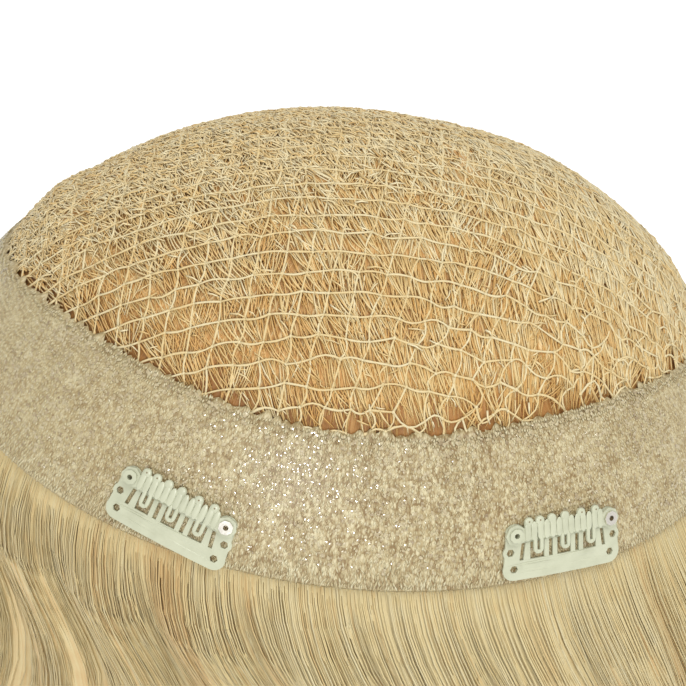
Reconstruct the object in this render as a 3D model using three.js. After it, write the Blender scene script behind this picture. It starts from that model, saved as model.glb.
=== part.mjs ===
import * as THREE from 'three';
import { TessellateModifier } from 'three/addons/modifiers/TessellateModifier.js';
import { mergeVertices } from 'three/addons/utils/BufferGeometryUtils.js';

// A hairpiece turned inside out over a rounded form: a coarse net crown and a skin band face out,
// and the hair knotted into them lies inside and hangs out below the rim.
// Millimetres, +Z up, +X along the length of the base. The origin is where the crown of a head
// or a block carries the piece: the top of the hollow, inside the hair.

// Dome that the whole base lies on: its half length, half width and vertical radius
const DOME_LENGTH = 98;
const DOME_WIDTH = 76;
const DOME_HEIGHT = 97;

// Lower cut edge of the base: its depth below the crown, and its rise towards both ends
const RIM_DEPTH = 59;
const RIM_LIFT = 2;

// Skin band round the edge: its width on the side with the clips, on the other side and at both
// ends, its swell between them, the turn of that pattern, and the space left between two plies
const BAND_WIDTH = 34.5;
const BAND_FAR_WIDTH = 14.5;
const BAND_END_WIDTH = 23.2;
const BAND_SWELL = 12.5;
const BAND_SKEW_DEG = 4.5;
const BAND_THICKNESS = 1;
const PLY_GAP = 0.5;

// Net crown: thread spacing and width, and the hem that is tucked under the band
const NET_PITCH = 13.4;
const NET_BAR = 2;
const NET_THICKNESS = 1.2;
const HEM_TUCK = 4;
const HEM_SHOW = 1;
const SMALLEST_GAP_SHARE = 0.1;

// Hair: the layer inside the base and the skirt of locks below the rim
const HAIR_GAP = 0.8;
const HAIR_LAYER = 4;
const HAIR_LENGTH = 138;
const HAIR_FLARE = 5;
const HAIR_DEPTH = 9;
const LOCK_COUNT = 24;
const LOCK_BULGE = 4;
const LOCK_NOTCH = 18;
const LOCK_UNEVENNESS = 16;
const WAVE_SWING = 18;
const WAVE_LENGTH = 110;
const HAIR_LEAN_DEG = 9.1;
const END_STILLNESS = 0.55;

// Snap comb clips: sheet metal, spaces and the outline round the holes
const CLIP_GAP = 0.3;
const CLIP_SHEET = 0.5;
const CLIP_CLEARANCE = 0.2;
const EYELET_U = 11.3;
const EYELET_BORE = 0.6;
const EYELET_WALL = 0.3;
const EYELET_FLANGE = 0.7;
const EYELET_FLANGE_SHEET = 0.3;
const EAR_MARGIN = 1.2;
const MIDDLE_HOLE_U = 12.4;
const MIDDLE_HOLE_DROP = 3.9;
const BOTTOM_HOLE_U = 11.6;
const BOTTOM_HOLE_DROP = 7.7;
const SEWING_HOLE = 0.9;
const MIDDLE_MARGIN = 0.75;
const BOTTOM_MARGIN = 1.6;
const FRAME_RISE = 0.9;

// Windows and slots of the clip frame, and the teeth and bumps of the comb
const WINDOW_PITCH = 6.3;
const WINDOW_WIDTH = 3.25;
const WINDOW_TOP = 2.1;
const WINDOW_HEIGHT = 3.8;
const SLOT_WIDTH = 0.9;
const SLOT_SLANT = 0.5;
const COMB_RISE = 1.3;
const COMB_DROP = 1.4;
const BUMP_RADIUS = 1;
const BUMP_RISE = 2.5;
const TOOTH_WIDTH = 2.3;
const TOOTH_SLIT = 0.6;
const TOOTH_TIP_DROP = 4.7;

// Places of the bumps, as shares of the way from the middle of the comb to the last one
const BUMPS = [{ at: -1 }, { at: -0.7 }, { at: -0.37 }, { at: 0 }, { at: 0.47 }, { at: 0.9 }];

// Places of the clips: turn round the base, height of the middle above the rim, and tilt
const CLIPS = [
  { name: 'left_clip', turnDeg: -116.2, rise: 7.7, tiltDeg: -9.8 },
  { name: 'right_clip', turnDeg: -59.7, rise: 7.4, tiltDeg: -1.6 },
];

// Fineness of the facets
const BAND_SEGMENTS = 72;
const BAND_ROWS = 3;
const HEM_SEGMENTS = 48;
const COLUMNS_PER_LOCK = 4;
const ARC_STEPS = 3;
const EYELET_SIDES = 8;
const LONGEST_CLIP_EDGE = 11;

// Depths below the dome's surface of the layers under the band and the net
const UNDER_BAND = BAND_THICKNESS + PLY_GAP;
const UNDER_NET = UNDER_BAND + NET_THICKNESS + HAIR_GAP;
const HOLLOW_DEPTH = UNDER_NET + HAIR_LAYER;

const DOME_RADII = new THREE.Vector3(DOME_LENGTH, DOME_WIDTH, DOME_HEIGHT);
const DOME_CENTRE = new THREE.Vector3(0, 0, HOLLOW_DEPTH - DOME_HEIGHT);
const KEYS_PER_MM = 1000;

// Colours of the five finishes
const NET_FINISH = { color: 0xe3cf9f, roughness: 0.7, metalness: 0 };
const BAND_FINISH = { color: 0xc9b891, roughness: 0.35, metalness: 0 };
const HAIR_FINISH = { color: 0xd2aa66, roughness: 0.5, metalness: 0 };
const CLIP_FINISH = { color: 0xd9dbc2, roughness: 0.4, metalness: 0.1 };
const EYELET_FINISH = { color: 0xd8d8d6, roughness: 0.2, metalness: 1 };

// The point where a line from the dome's centre through the given point meets the dome,
// moved outwards by lift along the dome's normal
function onDome(point, lift) {
  const unit = point.clone().sub(DOME_CENTRE).divide(DOME_RADII).normalize();
  const normal = unit.clone().divide(DOME_RADII).normalize();
  return unit.multiply(DOME_RADII).add(DOME_CENTRE).addScaledVector(normal, lift);
}

// A point of the dome from its angle down from the crown and its turn round the base
function domePoint(angle, turn, lift) {
  const unit = new THREE.Vector3(
    Math.sin(angle) * Math.cos(turn),
    Math.sin(angle) * Math.sin(turn),
    Math.cos(angle),
  );
  return onDome(unit.multiply(DOME_RADII).add(DOME_CENTRE), lift);
}

// Angle down from the crown at which the rim runs
function rimAngle(turn) {
  const depth = RIM_DEPTH - RIM_LIFT * Math.cos(2 * turn);
  return Math.acos(1 - depth / DOME_HEIGHT);
}

// Length of one radian of the dome's meridian
function meridianLength(angle, turn) {
  const reach = Math.hypot(DOME_LENGTH * Math.cos(turn), DOME_WIDTH * Math.sin(turn));
  return Math.hypot(reach * Math.cos(angle), DOME_HEIGHT * Math.sin(angle));
}

// Angle of the line that runs a given length above the rim, measured up the dome
function angleAboveRim(turn, climb) {
  const rim = rimAngle(turn);
  const middle = rim - climb / (2 * DOME_HEIGHT);
  return rim - climb / meridianLength(middle, turn);
}

// Width of the skin band at a turn, from 1 in the middle of the clip side to -1 opposite
function bandWidth(turn) {
  const side = -Math.sin(turn + THREE.MathUtils.degToRad(BAND_SKEW_DEG));
  const half = (BAND_WIDTH - BAND_FAR_WIDTH) / 2;
  const middle = (BAND_WIDTH + BAND_FAR_WIDTH) / 2;
  const swell = BAND_SWELL * (side - side ** 3);
  return BAND_END_WIDTH + (middle - BAND_END_WIDTH) * side ** 2 + half * side + swell;
}

// Net coordinates are lengths along the threads, near the crown the same as X and Y
function netPoint(u, v, lift) {
  const across = u / DOME_LENGTH;
  const along = v / DOME_WIDTH;
  return domePoint(Math.hypot(across, along), Math.atan2(along, across), lift);
}

// Closed sheet between two lifts, from flat triangles that the place function lays on the dome
function laidSheet(flat, place, low, high) {
  const corners = flat.index ? flat.toNonIndexed() : flat;
  const position = corners.getAttribute('position');
  const numbers = new Map();
  const upper = [];
  const lower = [];
  const faces = [];
  for (let i = 0; i < position.count; i += 1) {
    const point = place(position.getX(i), position.getY(i), high);
    const key = point.toArray().map((value) => Math.round(value * KEYS_PER_MM)).join();
    if (!numbers.has(key)) {
      numbers.set(key, numbers.size);
      upper.push(...point.toArray());
      lower.push(...place(position.getX(i), position.getY(i), low).toArray());
    }
    faces.push(numbers.get(key));
  }
  return closedSheet(upper, lower, faces);
}

// Two like layers of points, their faces, and a wall along every open edge
function closedSheet(upper, lower, faces) {
  const size = upper.length / 3;
  const index = [];
  const edges = new Set();
  for (let i = 0; i < faces.length; i += 3) {
    const [a, b, c] = faces.slice(i, i + 3);
    if (a !== b && b !== c && c !== a) {
      index.push(a, b, c, size + c, size + b, size + a);
      edges.add(`${a},${b}`).add(`${b},${c}`).add(`${c},${a}`);
    }
  }
  for (const edge of edges) {
    const [a, b] = edge.split(',').map(Number);
    if (!edges.has(`${b},${a}`)) {
      index.push(b, a, size + a, b, size + a, size + b);
    }
  }
  const body = new THREE.BufferGeometry();
  body.setAttribute('position', new THREE.Float32BufferAttribute([...upper, ...lower], 3));
  body.setIndex(index);
  return body;
}

function named(name, geometry, finish) {
  const mesh = new THREE.Mesh(geometry, new THREE.MeshStandardMaterial(finish));
  mesh.name = name;
  return mesh;
}

// Oval line in net coordinates, along the top edge of the band or a given length above it
function hemLine(climb) {
  const line = [];
  for (let i = 0; i < HEM_SEGMENTS; i += 1) {
    const turn = (2 * Math.PI * (i + 0.5)) / HEM_SEGMENTS;
    const angle = angleAboveRim(turn, bandWidth(turn) + climb);
    line.push(new THREE.Vector2(
      DOME_LENGTH * angle * Math.cos(turn),
      DOME_WIDTH * angle * Math.sin(turn),
    ));
  }
  return line;
}

// Part of a convex outline that lies inside another convex outline, both counter-clockwise
function clipped(outline, border) {
  let kept = outline;
  for (let i = 0; i < border.length; i += 1) {
    const start = border[i];
    const edge = border[(i + 1) % border.length].clone().sub(start);
    const side = (point) => edge.cross(point.clone().sub(start));
    const next = [];
    for (let k = 0; k < kept.length; k += 1) {
      const from = kept[k];
      const to = kept[(k + 1) % kept.length];
      const [here, there] = [side(from), side(to)];
      if (here >= 0) next.push(from);
      if (here * there < 0) next.push(from.clone().lerp(to, here / (here - there)));
    }
    kept = next;
  }
  return kept;
}

function squareCell(u, v, inset) {
  const [low, high] = [inset, NET_PITCH - inset];
  const corners = [[low, low], [high, low], [high, high], [low, high]];
  return corners.map(([x, y]) => new THREE.Vector2(u + x, v + y));
}

// Flat triangles of one net cell, with its gap cut out where the gap is big enough
function netCell(u, v, hem, opening) {
  const outline = clipped(squareCell(u, v, 0), hem);
  if (outline.length < 3) return [];
  const gap = clipped(squareCell(u, v, NET_BAR / 2), opening);
  const enough = SMALLEST_GAP_SHARE * NET_PITCH ** 2;
  const pierced = gap.length > 2 && THREE.ShapeUtils.area(gap) > enough;
  const points = pierced ? [...outline, ...gap] : outline;
  const faces = THREE.ShapeUtils.triangulateShape(outline, pierced ? [gap] : []);
  return faces.flatMap((face) => {
    const corners = face.map((i) => points[i]);
    const turned = THREE.ShapeUtils.isClockWise(corners) ? corners.reverse() : corners;
    return turned.flatMap((corner) => [corner.x, corner.y, 0]);
  });
}

// Net crown: square cells over the dome, closed by a hem that runs under the skin band
function netCrown() {
  const hem = hemLine(-HEM_TUCK);
  const opening = hemLine(HEM_SHOW);
  const reach = Math.max(...hem.map((point) => Math.max(Math.abs(point.x), Math.abs(point.y))));
  const cells = Math.ceil(reach / NET_PITCH + 0.5);
  const corners = [];
  for (let i = -cells; i <= cells; i += 1) {
    for (let j = -cells; j <= cells; j += 1) {
      corners.push(...netCell((i - 0.5) * NET_PITCH, (j - 0.5) * NET_PITCH, hem, opening));
    }
  }
  const flat = new THREE.BufferGeometry();
  flat.setAttribute('position', new THREE.Float32BufferAttribute(corners, 3));
  const body = laidSheet(flat, netPoint, -UNDER_BAND - NET_THICKNESS, -UNDER_BAND);
  return named('net_crown', body, NET_FINISH);
}

// Skin band: a closed ring from the rim up to the net
function skinBand() {
  const flat = new THREE.PlaneGeometry(1, 1, BAND_SEGMENTS, BAND_ROWS);
  const place = (x, y, lift) => {
    const turn = 2 * Math.PI * x;
    return domePoint(angleAboveRim(turn, bandWidth(turn) * (y + 0.5)), turn, lift);
  };
  return named('skin_band', laidSheet(flat, place, -BAND_THICKNESS, 0), BAND_FINISH);
}

// Hair profile from the crown down the outside to the tips and back up the inside.
// Rows under the base: share of the way down to the hem, or up the band from the rim.
const HAIR_UNDER_NET = [{ down: 0 }, { down: 0.34 }, { down: 0.68 }, { down: 1 }];
const HAIR_UNDER_BAND = [{ up: 0.8 }, { up: 0.4 }, { up: 0 }];
const HAIR_INSIDE = [{ down: 1 }, { down: 0.7 }, { down: 0.36 }, { down: 0 }];

// Rows of the skirt: share of the lock's length, and shares of flare, bulge and depth there
const SKIRT_OUTSIDE = [
  { drop: 0.04, flare: 0.35, bulge: 0.2 },
  { drop: 0.1, flare: 0.7, bulge: 0.6 },
  { drop: 0.18, flare: 1, bulge: 1 },
  { drop: 0.28, flare: 1, bulge: 1 },
  { drop: 0.39, flare: 0.9, bulge: 1 },
  { drop: 0.51, flare: 0.7, bulge: 1 },
  { drop: 0.63, flare: 0.45, bulge: 1 },
  { drop: 0.76, flare: 0.15, bulge: 0.9 },
  { drop: 0.89, flare: -0.2, bulge: 0.6 },
  { drop: 1, flare: -0.6, bulge: 0.1 },
];
const SKIRT_INSIDE = [
  { drop: 0.96, flare: -0.5, depth: 0.15 },
  { drop: 0.76, flare: 0.15, depth: 0.6 },
  { drop: 0.51, flare: 0.7, depth: 0.9 },
  { drop: 0.28, flare: 1, depth: 1 },
  { drop: 0.1, flare: 0.7, depth: 0.9 },
];

// How far the hair has swung along X when it has fallen a given depth below the rim: all of it
// at the long sides, less towards both ends
function swing(drop, turn) {
  const lean = drop * Math.tan(THREE.MathUtils.degToRad(HAIR_LEAN_DEG));
  const wave = (WAVE_SWING * (1 - Math.cos((2 * Math.PI * drop) / WAVE_LENGTH))) / 2;
  return (lean + wave) * (1 - END_STILLNESS * Math.cos(turn) ** 2);
}

// Shape of the lock at a column: its swell across the lock, and its length down to the tip
function lockAt(column) {
  const place = column / COLUMNS_PER_LOCK;
  const swell = Math.abs(Math.sin(Math.PI * place));
  const number = Math.floor(place) % LOCK_COUNT;
  const unevenness = LOCK_UNEVENNESS * Math.sin(number ** 2) ** 2;
  return { swell, length: HAIR_LENGTH - LOCK_NOTCH * (1 - swell) - unevenness * swell };
}

// Point of the skirt: below the rim, out by the flare and the lock's bulge, in by the depth
function skirtPoint(row, turn, lock) {
  const rim = domePoint(rimAngle(turn), turn, -UNDER_BAND);
  const outwards = new THREE.Vector3(Math.cos(turn) / DOME_LENGTH, Math.sin(turn) / DOME_WIDTH, 0);
  const drop = row.drop * lock.length;
  const bulge = LOCK_BULGE * lock.swell * (row.bulge ?? 0);
  const out = HAIR_FLARE * row.flare + bulge - HAIR_DEPTH * (row.depth ?? 0);
  const fall = new THREE.Vector3(swing(drop, turn), 0, -drop);
  return rim.addScaledVector(outwards.normalize(), out).add(fall);
}

// All rows of the hair as functions of the turn and the lock
function hairRows() {
  const hemAngle = (turn) => angleAboveRim(turn, bandWidth(turn) - HEM_TUCK - HAIR_GAP);
  return [
    ...HAIR_UNDER_NET.map((row) => (turn) => domePoint(row.down * hemAngle(turn), turn, -UNDER_NET)),
    ...HAIR_UNDER_BAND.map((row) => (turn) => {
      const climb = row.up * (bandWidth(turn) - HEM_TUCK);
      return domePoint(angleAboveRim(turn, climb), turn, -UNDER_BAND);
    }),
    ...SKIRT_OUTSIDE.map((row) => (turn, lock) => skirtPoint(row, turn, lock)),
    ...SKIRT_INSIDE.map((row) => (turn, lock) => skirtPoint(row, turn, lock)),
    ...HAIR_INSIDE.map((row) => (turn) => (
      domePoint(row.down * rimAngle(turn), turn, -HOLLOW_DEPTH))),
  ];
}

// Hair: one body turned round the base, whose skirt swells into locks with pointed tips
function hair() {
  const rows = hairRows().reverse();
  const columns = LOCK_COUNT * COLUMNS_PER_LOCK;
  const profile = rows.map((row, i) => new THREE.Vector2(1, -i));
  const body = new THREE.LatheGeometry(profile, columns);
  const position = body.getAttribute('position');
  for (let column = 0; column <= columns; column += 1) {
    const around = column % columns;
    const turn = (2 * Math.PI * around) / columns;
    rows.forEach((row, i) => {
      const point = row(turn, lockAt(around));
      position.setXYZ(column * rows.length + i, point.x, point.y, point.z);
    });
  }
  body.deleteAttribute('normal');
  body.deleteAttribute('uv');
  return named('hair', mergeVertices(withoutSlivers(body)), HAIR_FINISH);
}

// The same mesh without the flat faces that a pole leaves
function withoutSlivers(geometry) {
  const merged = mergeVertices(geometry);
  const index = merged.getIndex().array;
  const kept = [];
  for (let i = 0; i < index.length; i += 3) {
    const [a, b, c] = index.slice(i, i + 3);
    if (a !== b && b !== c && c !== a) kept.push(a, b, c);
  }
  merged.setIndex(kept);
  return merged;
}

// Place function of a clip: u along its length, v up from the line of its eyelets
function clipPlace(clip) {
  const turn = THREE.MathUtils.degToRad(clip.turnDeg);
  const angle = angleAboveRim(turn, clip.rise);
  const middle = domePoint(angle, turn, 0);
  const normal = domePoint(angle, turn, 1).sub(middle);
  const level = new THREE.Vector3(0, 0, 1).cross(normal).normalize();
  const along = level.applyAxisAngle(normal, THREE.MathUtils.degToRad(clip.tiltDeg));
  const up = normal.clone().cross(along);
  return (u, v, lift) => {
    const point = middle.clone().addScaledVector(along, u);
    return onDome(point.addScaledVector(up, v + BOTTOM_HOLE_DROP / 2), lift);
  };
}

function roundHole(u, v, radius) {
  return new THREE.Path().absarc(u, v, radius, 0, 2 * Math.PI, true);
}

// Hole with straight sides, slanted along its height
function slantedHole(u, top, width, height, slant) {
  return new THREE.Path([
    new THREE.Vector2(u - width / 2 - slant, top - height),
    new THREE.Vector2(u - width / 2, top),
    new THREE.Vector2(u + width / 2, top),
    new THREE.Vector2(u + width / 2 - slant, top - height),
  ]);
}

const EYELET_HOLE = EYELET_BORE + EYELET_WALL + CLIP_CLEARANCE;
const EAR_RADIUS = EYELET_HOLE + EAR_MARGIN;

// Frame of a clip: a leaf with two lobed ends, sewing holes, windows and slots
function frameShape() {
  const bottom = SEWING_HOLE + BOTTOM_MARGIN;
  const middle = SEWING_HOLE + MIDDLE_MARGIN;
  const ear = Math.asin(FRAME_RISE / EAR_RADIUS);
  const shape = new THREE.Shape();
  shape.absarc(BOTTOM_HOLE_U, -BOTTOM_HOLE_DROP, bottom, -Math.PI / 2, Math.PI / 8, false);
  shape.absarc(MIDDLE_HOLE_U, -MIDDLE_HOLE_DROP, middle, -Math.PI / 5, Math.PI / 4, false);
  shape.absarc(EYELET_U, 0, EAR_RADIUS, Math.PI / 6, Math.PI - ear, false);
  shape.absarc(-EYELET_U, 0, EAR_RADIUS, ear, (Math.PI * 5) / 6, false);
  shape.absarc(-MIDDLE_HOLE_U, -MIDDLE_HOLE_DROP, middle, (Math.PI * 3) / 4, (Math.PI * 6) / 5, false);
  shape.absarc(-BOTTOM_HOLE_U, -BOTTOM_HOLE_DROP, bottom, (Math.PI * 7) / 8, (Math.PI * 3) / 2, false);
  for (const side of [-1, 1]) {
    shape.holes.push(roundHole(side * EYELET_U, 0, EYELET_HOLE));
    shape.holes.push(roundHole(side * MIDDLE_HOLE_U, -MIDDLE_HOLE_DROP, SEWING_HOLE));
    shape.holes.push(roundHole(side * BOTTOM_HOLE_U, -BOTTOM_HOLE_DROP, SEWING_HOLE));
    const slot = side * WINDOW_PITCH / 2;
    const end = side * WINDOW_PITCH * 1.5;
    shape.holes.push(slantedHole(slot, -WINDOW_TOP, SLOT_WIDTH, WINDOW_HEIGHT, 0));
    shape.holes.push(slantedHole(end, -WINDOW_TOP, SLOT_WIDTH, WINDOW_HEIGHT, -side * SLOT_SLANT));
  }
  for (const place of [-1, 0, 1]) {
    const middleU = place * WINDOW_PITCH;
    shape.holes.push(slantedHole(middleU, -WINDOW_TOP, WINDOW_WIDTH, WINDOW_HEIGHT, 0));
  }
  return shape;
}

// Comb of a clip: a strip between the eyelets, bumps along its top and three looped teeth
function combShape() {
  const rise = Math.asin(COMB_RISE / EAR_RADIUS);
  const fall = Math.asin(COMB_DROP / EAR_RADIUS);
  const tooth = TOOTH_WIDTH / 2;
  const wire = (TOOTH_WIDTH - TOOTH_SLIT) / 2;
  const shape = new THREE.Shape();
  const lastBump = EYELET_U - EAR_RADIUS * Math.cos(rise) - BUMP_RADIUS;
  shape.absarc(EYELET_U, 0, EAR_RADIUS, -Math.PI + fall, Math.PI - rise, false);
  for (const bump of BUMPS.toReversed()) {
    const u = bump.at * lastBump;
    shape.lineTo(u + BUMP_RADIUS, COMB_RISE);
    shape.absarc(u, BUMP_RISE, BUMP_RADIUS, 0, Math.PI, false);
    shape.lineTo(u - BUMP_RADIUS, COMB_RISE);
  }
  shape.absarc(-EYELET_U, 0, EAR_RADIUS, rise, 2 * Math.PI - fall, false);
  for (const place of [-1, 0, 1]) {
    const u = place * WINDOW_PITCH;
    shape.lineTo(u - tooth, -COMB_DROP);
    shape.absarc(u, -TOOTH_TIP_DROP + tooth, tooth, Math.PI, 2 * Math.PI, false);
    shape.lineTo(u + tooth, -COMB_DROP);
    shape.holes.push(slantedHole(u, 0, TOOTH_SLIT, TOOTH_TIP_DROP - wire, 0));
  }
  for (const side of [-1, 1]) shape.holes.push(roundHole(side * EYELET_U, 0, EYELET_HOLE));
  return shape;
}

// Flat leaf of sheet metal, bent to lie along the dome at a given lift
function clipLeaf(name, shape, place, lift) {
  const flat = new THREE.ShapeGeometry(shape, ARC_STEPS);
  const split = new TessellateModifier(LONGEST_CLIP_EDGE, 12).modify(flat);
  return named(name, laidSheet(split, place, lift, lift + CLIP_SHEET), CLIP_FINISH);
}

// Eyelet: a short tube through both leaves with a flange on the comb
function eyelet(name, side, place) {
  const [bore, tube] = [EYELET_BORE, EYELET_BORE + EYELET_WALL];
  const flange = tube + EYELET_FLANGE;
  const seat = 2 * CLIP_SHEET + 2 * CLIP_CLEARANCE;
  const top = seat + EYELET_FLANGE_SHEET;
  const profile = [[bore, 0], [tube, 0], [tube, seat], [flange, seat], [flange, top], [bore, top], [bore, 0]];
  const body = new THREE.LatheGeometry(profile.map(([x, y]) => new THREE.Vector2(x, y)), EYELET_SIDES);
  body.deleteAttribute('normal');
  body.deleteAttribute('uv');
  const mesh = named(name, mergeVertices(body), EYELET_FINISH);
  const foot = place(side * EYELET_U, 0, CLIP_GAP);
  const axis = place(side * EYELET_U, 0, CLIP_GAP + 1).sub(foot);
  mesh.position.copy(foot);
  mesh.quaternion.setFromUnitVectors(new THREE.Vector3(0, 1, 0), axis);
  return mesh;
}

// Snap comb clip: frame on the band, comb on the frame, an eyelet at each end
function snapClip(clip) {
  const place = clipPlace(clip);
  const combLift = CLIP_GAP + CLIP_SHEET + CLIP_CLEARANCE;
  const parts = new THREE.Group();
  parts.add(clipLeaf(`${clip.name}_frame`, frameShape(), place, CLIP_GAP));
  parts.add(clipLeaf(`${clip.name}_comb`, combShape(), place, combLift));
  parts.add(eyelet(`${clip.name}_eyelet_a`, -1, place));
  parts.add(eyelet(`${clip.name}_eyelet_b`, 1, place));
  return parts;
}

const group = new THREE.Group();
group.add(netCrown(), skinBand(), hair());
for (const clip of CLIPS) group.add(snapClip(clip));

export default group;
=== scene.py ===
import math

import bmesh
import bpy
import numpy as np
from mathutils import Matrix, Vector, noise


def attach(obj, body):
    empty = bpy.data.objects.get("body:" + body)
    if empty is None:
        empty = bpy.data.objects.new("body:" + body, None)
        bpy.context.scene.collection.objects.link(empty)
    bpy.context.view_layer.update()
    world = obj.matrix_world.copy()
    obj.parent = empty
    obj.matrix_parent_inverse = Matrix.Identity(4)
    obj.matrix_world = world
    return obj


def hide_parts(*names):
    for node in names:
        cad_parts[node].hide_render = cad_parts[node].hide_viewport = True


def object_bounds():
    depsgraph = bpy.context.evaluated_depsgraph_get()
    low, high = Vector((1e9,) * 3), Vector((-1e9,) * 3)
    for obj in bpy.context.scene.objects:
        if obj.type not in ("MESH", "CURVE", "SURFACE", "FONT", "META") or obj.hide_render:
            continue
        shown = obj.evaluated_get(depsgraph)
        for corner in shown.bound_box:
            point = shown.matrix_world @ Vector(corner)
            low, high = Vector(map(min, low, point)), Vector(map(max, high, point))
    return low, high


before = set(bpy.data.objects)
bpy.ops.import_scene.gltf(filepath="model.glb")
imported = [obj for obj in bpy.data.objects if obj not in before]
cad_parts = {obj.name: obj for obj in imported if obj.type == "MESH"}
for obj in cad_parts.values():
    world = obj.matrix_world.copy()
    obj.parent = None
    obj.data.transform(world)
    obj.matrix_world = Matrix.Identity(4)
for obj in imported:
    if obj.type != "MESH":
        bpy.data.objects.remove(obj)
cad_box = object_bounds()
chance = np.random.default_rng(7)


# Studio. The hairpiece is carried from inside its crown, so the pale floor lies some way below
# the hair. Even light comes from all round, and one small lamp over the camera gives the glints
# on the front of the skin band.
FLOOR_DROP = 0.15
FLOOR_SIZE = 8.0
FLOOR_CARD = (246, 246, 246)
FLOOR_GLOW = 0.30
SKY_STRENGTH = 0.70
SOFTBOX_POWER = 9.0
SOFTBOX_SIZE = 1.1
SOFTBOX_PLACE = Vector((0.25, -0.25, 1.10))
LAMP_POWER = 4.6
LAMP_SIZE = 0.26
LAMP_PLACE = Vector((-0.200, -1.160, 0.380))
BAND_FRONT = Vector((-0.006, -0.060, -0.031))
CAMERA_TARGET = Vector((-0.00143, 0.0, -0.04267))
CAMERA_DISTANCE = 0.80905
CAMERA_AZIMUTH = math.radians(-7.204)
CAMERA_ELEVATION = math.radians(37.087)
CAMERA_ROLL = math.radians(9.443)
CAMERA_LENS = 191.5
CAMERA_SENSOR = 36.0


def colour(red, green, blue):
    """Linear colour from the 0 to 255 values of a colour card."""
    card = np.array((red, green, blue)) / 255
    linear = np.where(card > 0.04045, ((card + 0.055) / 1.055) ** 2.4, card / 12.92)
    return (*linear, 1.0)


def finish(name, **sockets):
    """A new material, its node tree and its shader, with the shader's own sockets set."""
    material = bpy.data.materials.new(name)
    material.use_nodes = True
    shader = material.node_tree.nodes["Principled BSDF"]
    for socket, value in sockets.items():
        shader.inputs[socket.replace("_", " ")].default_value = value
    return material, material.node_tree, shader


def shown(name, mesh, material):
    """A mesh as an object of the scene, with its material."""
    piece = bpy.data.objects.new(name, mesh)
    bpy.context.scene.collection.objects.link(piece)
    mesh.materials.clear()
    mesh.materials.append(material)
    return piece


def studio_floor():
    sheet = bmesh.new()
    bmesh.ops.create_grid(sheet, x_segments=1, y_segments=1, size=FLOOR_SIZE / 2)
    bmesh.ops.translate(sheet, verts=sheet.verts, vec=(0, 0, cad_box[0].z - FLOOR_DROP))
    mesh = bpy.data.meshes.new("floor")
    sheet.to_mesh(mesh)
    sheet.free()
    paper, _, _ = finish(
        "floor_paper",
        Base_Color=colour(*FLOOR_CARD),
        Roughness=0.9,
        Emission_Color=colour(255, 255, 255),
        Emission_Strength=FLOOR_GLOW,
    )
    shown("floor", mesh, paper)


def area_light(name, place, size, power):
    light = bpy.data.objects.new(name, bpy.data.lights.new(name, "AREA"))
    light.data.shape = "DISK"
    light.data.size = size
    light.data.energy = power
    light.location = place
    light.rotation_euler = (BAND_FRONT - place).to_track_quat("-Z", "Y").to_euler()
    bpy.context.scene.collection.objects.link(light)


def studio_light():
    world = bpy.data.worlds.new("sky")
    world.use_nodes = True
    world.node_tree.nodes["Background"].inputs["Strength"].default_value = SKY_STRENGTH
    world.node_tree.nodes["Background"].inputs["Color"].default_value = (1, 1, 1, 1)
    bpy.context.scene.world = world
    area_light("softbox", SOFTBOX_PLACE, SOFTBOX_SIZE, SOFTBOX_POWER)
    area_light("lamp", LAMP_PLACE, LAMP_SIZE, LAMP_POWER)


def studio_camera():
    across = Vector((math.cos(CAMERA_AZIMUTH), math.sin(CAMERA_AZIMUTH), 0))
    back = Vector((math.sin(CAMERA_AZIMUTH), -math.cos(CAMERA_AZIMUTH), 0))
    back = back * math.cos(CAMERA_ELEVATION) + Vector((0, 0, math.sin(CAMERA_ELEVATION)))
    level = Matrix((across, back.cross(across), back)).transposed()
    camera = bpy.data.objects.new("camera", bpy.data.cameras.new("camera"))
    camera.data.lens = CAMERA_LENS
    camera.data.sensor_width = CAMERA_SENSOR
    turned = level @ Matrix.Rotation(CAMERA_ROLL, 3, "Z")
    camera.matrix_world = Matrix.LocRotScale(
        CAMERA_TARGET + back * CAMERA_DISTANCE, turned.to_quaternion(), None
    )
    bpy.context.scene.collection.objects.link(camera)
    bpy.context.scene.camera = camera


bpy.context.scene.view_settings.view_transform = "Standard"
studio_floor()
studio_light()
studio_camera()


# Net crown. A coarse, nearly square net of pale thread, knotted where the threads cross. It is
# laid over the crown, tight at the top and slack at one side, with its edge under the skin band.
DOME_RADII = np.array((0.098, 0.076, 0.097))
DOME_CENTRE = np.array((0.0, 0.0, -0.0895))
RIM_DEPTH = 0.059
RIM_LIFT = 0.002
BAND_WIDTH = 0.0345
BAND_FAR_WIDTH = 0.0145
BAND_END_WIDTH = 0.0232
BAND_SWELL = 0.0125
BAND_SKEW = math.radians(4.5)
HEM_TUCK = 0.003
COLUMN_PITCH = 0.0057
COLUMN_SHIFT = -0.0019
COLUMN_CROWDING = 0.000035
DRIFT_COLUMNS = 4
ROW_PITCH = 0.0045
ROW_SHIFT = 0.0004
DRIFT = 0.235
DRIFT_START = 0.002
DRIFT_SOFTNESS = 0.008
NET_UNDER_BAND = -0.0008
NET_AT_CROWN = -0.0003
NET_RISE_LENGTH = 0.006
SHOULDER_RISE = 0.0018
SHOULDER_RIGHT = 0.010
SHOULDER_RIGHT_RAMP = 0.035
SHOULDER_LEFT = -0.064
SHOULDER_LEFT_RAMP = 0.014
SHOULDER_FRONT = -0.020
SHOULDER_FRONT_RAMP = 0.030
SHOULDER_HEM_RAMP = 0.020
THREAD_RADIUS = 0.00024
THREAD_UNEVENNESS = 0.12
THREAD_DIP = 0.3
THREAD_SIDES = 5
THREAD_STEPS = 5
THREAD_TONES = (0.35, 1.0)
COLUMN_EXTRA = 0.00020
COLUMN_EXTRA_START = -0.015
COLUMN_EXTRA_RAMP = 0.045
COLUMN_DIP = 0.6
TIGHT_SHIFT = 0.00028
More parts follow.
